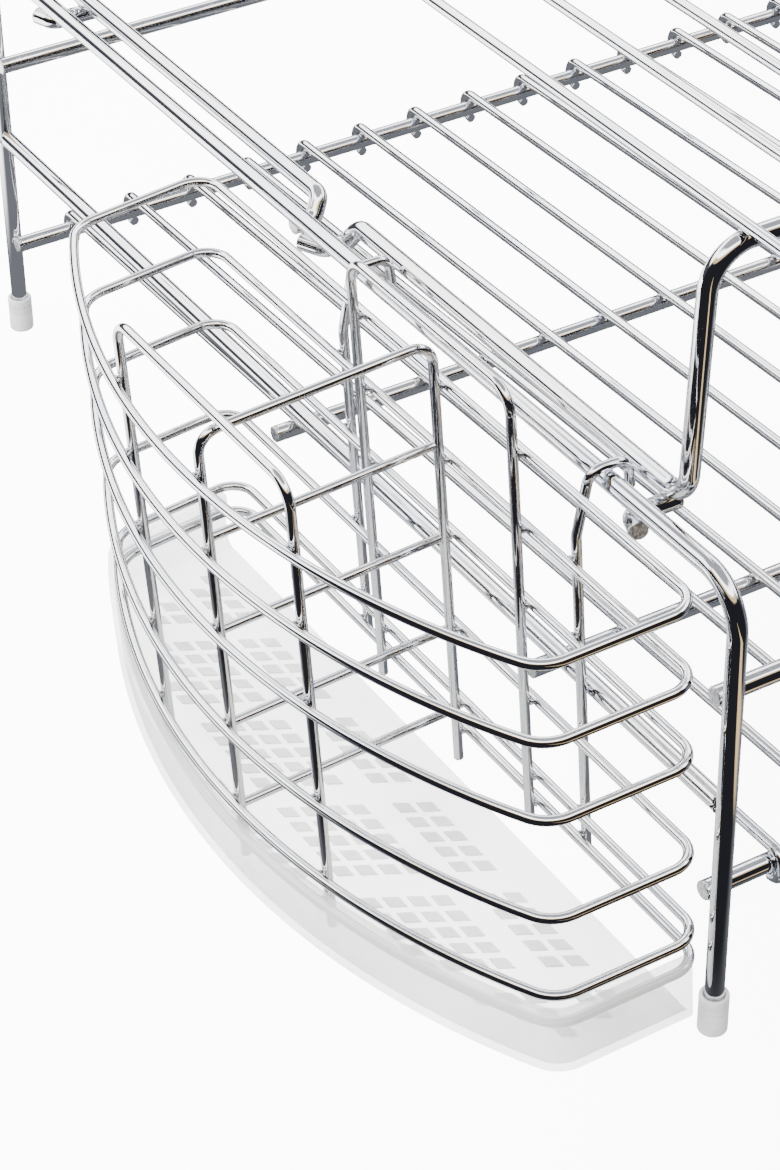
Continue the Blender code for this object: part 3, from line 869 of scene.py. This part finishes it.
builder = bmesh.new()
pads = 0
for patch_i in range(PATCHES[0]):
    for patch_j in range(PATCHES[1]):
        for i in range(PATCH[0]):
            for j in range(PATCH[1]):
                along = (patch_i * PATCH[0] + i) * PAD_PITCH[0] + patch_i * PATCH_GAP[0]
                across = (patch_j * PATCH[1] + j) * PAD_PITCH[1] + patch_j * PATCH_GAP[1]
                corner = PATCH_START + PAD_ALONG.normalized() * along + PAD_ACROSS * across
                pads += add_pad(builder, corner)
bmesh.ops.recalc_face_normals(builder, faces=builder.faces)
mesh_piece("drip_tray_pads", builder, [PAD_SHADE_FINISH], "tray", [])
print(pads, "grip pads")

# %% [markdown]
# ## Leg caps
# A soft cap keeps each leg from marking the worktop. It is a body of revolution, so half its section
# is drawn once and turned: an inner bore for the leg, a rounded lip, two grip grooves and a broken
# bottom edge.

# %% Caps
CAP_R = span("leg_cap_near_left").x / 2
CAP_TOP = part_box("leg_cap_near_left")[1].z
CAP_SIDES = 40


def cap_section():
    bore = FRAME_R + GAP
    floor = 2.0 * MM
    lip = 0.55 * MM
    points = [(0.0, floor), (bore, floor), (bore, CAP_TOP - lip)]
    points += quarter(((bore + CAP_R) / 2, CAP_TOP - lip), (CAP_R - bore) / 2, 180, 0)
    for groove in (0.72, 0.58):
        height = CAP_TOP * groove
        points += [(CAP_R, height + 0.6 * MM), (CAP_R - 0.35 * MM, height), (CAP_R, height - 0.6 * MM)]
    points += quarter((CAP_R - 0.8 * MM, 0.8 * MM), 0.8 * MM, 0, -90)
    return points + [(0.0, 0.0)]


def rubber_finish():
    finish = Finish("cap_rubber", Sheen_Weight=0.2)
    dust = finish.above(finish.cloud(220, 4), 0.45, 0.75)
    finish.feed(Base_Color=finish.blend(dust, (0.82, 0.82, 0.83, 1.0), (0.70, 0.69, 0.67, 1.0)))
    finish.feed(Roughness=0.55 + dust * 0.25, Normal=finish.bump(finish.cloud(1800, 3), 0.05 * MM))
    return finish.material


RUBBER = rubber_finish()
for node in sorted(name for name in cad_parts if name.startswith("leg_cap")):
    axis = Vector((middle(node).x, middle(node).y, 0.0))
    builder = bmesh.new()
    profile = [builder.verts.new(axis + Vector((radius, 0, z))) for radius, z in cap_section()]
    edges = [builder.edges.new(pair) for pair in zip(profile, profile[1:])]
    bmesh.ops.spin(
        builder, geom=profile + edges, cent=axis, axis=(0, 0, 1), angle=2 * pi, steps=CAP_SIDES
    )
    bmesh.ops.remove_doubles(builder, verts=builder.verts, dist=0.001 * MM)
    bmesh.ops.recalc_face_normals(builder, faces=builder.faces)
    for face in builder.faces:
        face.smooth = True
    mesh_piece(f"{node}_rubber", builder, [RUBBER], "rack", [node])
print("caps", round(2 * CAP_R / MM, 1), "mm across")

# %% [markdown]
# ## Camera
# The camera stands above the basket's corner with a long lens, tipped down by about 36 degrees and
# rolled by less than one.

# %% Camera
CAMERA_AT = Vector((LEFT_X - 0.4316, NEAR_Y - 0.5435, TOP_Z + 0.5131))
CAMERA_AIM = Vector((0.41114, 0.69069, -0.59490))
CAMERA_ROLL = radians(-0.883)
LENS = 99.57  # for a 36 mm sensor along the long side of the render

camera_data = bpy.data.cameras.new("camera")
camera_data.lens = LENS
camera_data.clip_start = 0.01
camera = bpy.data.objects.new("camera", camera_data)
camera.matrix_world = (
    Matrix.Translation(CAMERA_AT)
    @ CAMERA_AIM.to_track_quat("-Z", "Y").to_matrix().to_4x4()
    @ Matrix.Rotation(CAMERA_ROLL, 4, "Z")
)
bpy.context.scene.collection.objects.link(camera)
bpy.context.scene.camera = camera
print("camera", round(CAMERA_AT.length, 2), "m from the rack's middle")

# %% [markdown]
# ## Lighting chrome
# A mirror shows only its surroundings, so the surroundings are designed and the chrome follows. The
# rack stands in a tent that reflections alone can see: a white band beyond it between a dark horizon
# and a grey ceiling, and on the camera's side dark up to thirty degrees, with a warm edge above the
# dark. Uprights reflect only the table, so the table has a second skin for reflections: dark towards
# the camera, which draws the black cores, grey underneath, and white to the left and far away. The
# softboxes, which reflections cannot see, light the plastic, and a glowing table is the background.

# %% Tent and table skin
TOWARDS = Vector((-0.511, -0.859, 0.0)).normalized()  # from the rack to the camera, along the table
SIDEWAYS = Vector((0.859, -0.511, 0.0)).normalized()
UPWARDS = Vector((0, 0, 1))
TENT_R = 5.0
TENT_WHITE = 5.0  # the other tones are shares of it
WHITE = (1.0, 1.0, 1.0, 1.0)
WARM = (0.26, 0.19, 0.10, 1.0)
GREY = (0.040, 0.042, 0.046, 1.0)
CEILING = (0.11, 0.112, 0.12, 1.0)
HORIZON = (0.016, 0.017, 0.020, 1.0)
DARK = (0.004, 0.004, 0.005, 1.0)
# Heights are sines of the angle above the horizon, and each pair is where an edge starts and ends.
BAND_FOOT, BAND_TOP = (0.38, 0.50), (0.70, 0.80)
WARM_FOOT, WARM_TOP, NEAR_BAND_TOP = (0.52, 0.58), (0.66, 0.72), (0.84, 0.90)
NEAR_SIDE = (0.02, 0.20)
# Places on the table, in metres from the rack's middle.
FAR_WHITE, LEFT_WHITE, NEAR_DARK = (-1.4, -0.5), (-0.42, -0.30), (0.24, 0.32)
STRIP_AT = 0.08  # a pale strip across the dark, which puts a streak beside some of the cores
STRIP_WIDTH = 0.06
STRIP_EDGE = 0.02


def along(finish, direction):
    """How far a point of the surface lies along the direction, from the object's origin."""
    inputs = {0: finish.place(), 1: direction}
    return finish.node("ShaderNodeVectorMath", {"operation": "DOT_PRODUCT"}, inputs, output=1)


def glowing(name, strength):
    finish = Finish(name, Roughness=1.0, Specular_IOR_Level=0.0, Emission_Strength=strength)
    finish.feed(Base_Color=(0, 0, 0, 1))
    return finish


def tent_finish():
    finish = glowing("tent_cloth", TENT_WHITE)
    height = along(finish, UPWARDS / TENT_R)
    near_side = finish.above(along(finish, TOWARDS / TENT_R), *NEAR_SIDE)
    tone = finish.blend(finish.above(height, *BAND_FOOT), HORIZON, WHITE)
    tone = finish.blend(finish.above(height, *BAND_TOP), tone, CEILING)
    near_tone = finish.blend(finish.above(height, *WARM_FOOT), DARK, WARM)
    near_tone = finish.blend(finish.above(height, *WARM_TOP), near_tone, WHITE)
    near_tone = finish.blend(finish.above(height, *NEAR_BAND_TOP), near_tone, CEILING)
    finish.feed(Emission_Color=finish.blend(near_side, tone, near_tone))
    return finish.material


def table_skin_finish():
    finish = glowing("table_skin", TENT_WHITE)
    towards = along(finish, TOWARDS)
    sideways = along(finish, SIDEWAYS)
    tone = finish.blend(finish.above(towards, *FAR_WHITE), WHITE, GREY)
    tone = finish.blend(finish.above(sideways, *LEFT_WHITE), WHITE, tone)
    strip_end = STRIP_AT + STRIP_WIDTH
    into_strip = finish.above(sideways, STRIP_AT, STRIP_AT + STRIP_EDGE)
    strip = into_strip - finish.above(sideways, strip_end, strip_end + STRIP_EDGE)
    near_tone = finish.blend(strip, DARK, WARM)
    finish.feed(Emission_Color=finish.blend(finish.above(towards, *NEAR_DARK), tone, near_tone))
    return finish.material


def stage_mesh(name, build, material, seen_by):
    """A piece of the studio. seen_by is "camera" or "reflections", and nothing else sees it."""
    mesh = bpy.data.meshes.new(name)
    builder = bmesh.new()
    build(builder)
    builder.to_mesh(mesh)
    builder.free()
    mesh.materials.append(material)
    made = bpy.data.objects.new(name, mesh)
    bpy.context.scene.collection.objects.link(made)
    made.visible_camera = seen_by == "camera"
    made.visible_glossy = seen_by == "reflections"
    made.visible_diffuse = False
    made.visible_shadow = False
    made.visible_transmission = False
    made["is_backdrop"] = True
    return made


def build_tent(builder):
    bmesh.ops.create_icosphere(builder, subdivisions=5, radius=TENT_R)


def build_skin(builder):
    bmesh.ops.create_grid(builder, x_segments=1, y_segments=1, size=TENT_R)


stage_mesh("tent", build_tent, tent_finish(), "reflections")
stage_mesh("table_skin", build_skin, table_skin_finish(), "reflections")
print("tent", 2 * TENT_R, "m across")

# %% Table, softboxes and room
TABLE_GLOW = 13.0
TABLE_FALLOFF_GREY = (0.40, 0.385, 0.36, 1.0)
TABLE_HALF = 40.0
ROOM_GREY = 1.2


def build_table(builder):
    bmesh.ops.create_grid(builder, x_segments=1, y_segments=1, size=TABLE_HALF)


table_finish = glowing("glowing_table", TABLE_GLOW)
# Painted shade: the glowing table fades from white on the left to grey on the right, as if lit from the
# left; a cloud adds a little random tone.
shade = table_finish.above(along(table_finish, SIDEWAYS), -0.15, 0.55)
drift = table_finish.above(table_finish.cloud(1.4, 2), 0.3, 0.7) * 0.25 + shade * 0.75
table_finish.feed(Emission_Color=table_finish.blend(drift, WHITE, TABLE_FALLOFF_GREY))
stage_mesh("table_top", build_table, table_finish.material, "camera").location.z = -0.5 * MM


def softbox(name, at, aim, size, radiance, colour):
    """An area light given by how bright it looks, so that its size can change freely."""
    data = bpy.data.lights.new(name, "AREA")
    data.shape = "RECTANGLE"
    data.size, data.size_y = size
    data.energy = radiance * pi * size[0] * size[1]
    data.color = colour
    made = bpy.data.objects.new(name, data)
    made.location = at
    made.rotation_euler = (Vector(aim) - Vector(at)).to_track_quat("-Z", "Y").to_euler()
    made.visible_glossy = False
    bpy.context.scene.collection.objects.link(made)


softbox("far_box", (0.3, 2.8, 1.9), (0, 0, 0.3), (3.0, 2.0), 9.0, (1.0, 1.0, 1.0))
softbox("left_box", (-2.8, 0.0, 1.4), (0, 0, 0.2), (2.4, 2.0), 13.0, (0.99, 0.99, 1.0))
softbox("top_box", (0.2, 0.5, 2.6), (0, 0, 0), (1.8, 1.4), 9.0, (1.0, 0.99, 0.97))

world = bpy.data.worlds.new("grey_room")
world.use_nodes = True
world.node_tree.nodes["Background"].inputs["Color"].default_value = (ROOM_GREY, ROOM_GREY, ROOM_GREY, 1.0)
bpy.context.scene.world = world
print("three softboxes in a grey room")

# %% [markdown]
# ## Measure and finish
# The bounds of all pieces but the studio's are taken here.

# %% Measure and finish
low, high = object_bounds()
